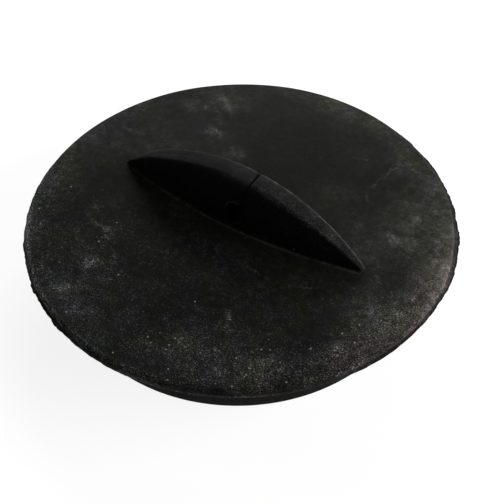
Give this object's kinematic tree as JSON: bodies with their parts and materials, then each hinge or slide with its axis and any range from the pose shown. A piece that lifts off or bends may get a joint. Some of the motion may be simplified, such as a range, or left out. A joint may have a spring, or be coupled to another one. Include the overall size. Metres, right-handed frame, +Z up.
{
  "type": "rubber sink plug",
  "caption": "Round black rubber sink plug: a crowned flange with a crescent finger grip, pierced for a chain, over a hollow tapered spigot.",
  "frame": {"origin": "on the plug's axis, level with the open rim of the spigot that it stands on", "axes": "+Z up out of the deck along the plug's axis, X along the finger grip, +Y through the chain hole"},
  "size_m": [0.1, 0.1, 0.0308],
  "materials": {
    "rubber": "matt black moulded rubber, dusty, with a cloudy grey bloom, pale specks and faint scuffs"
  },
  "bodies": {
    "root": {"plug": "rubber"}
  },
  "joints": []
}
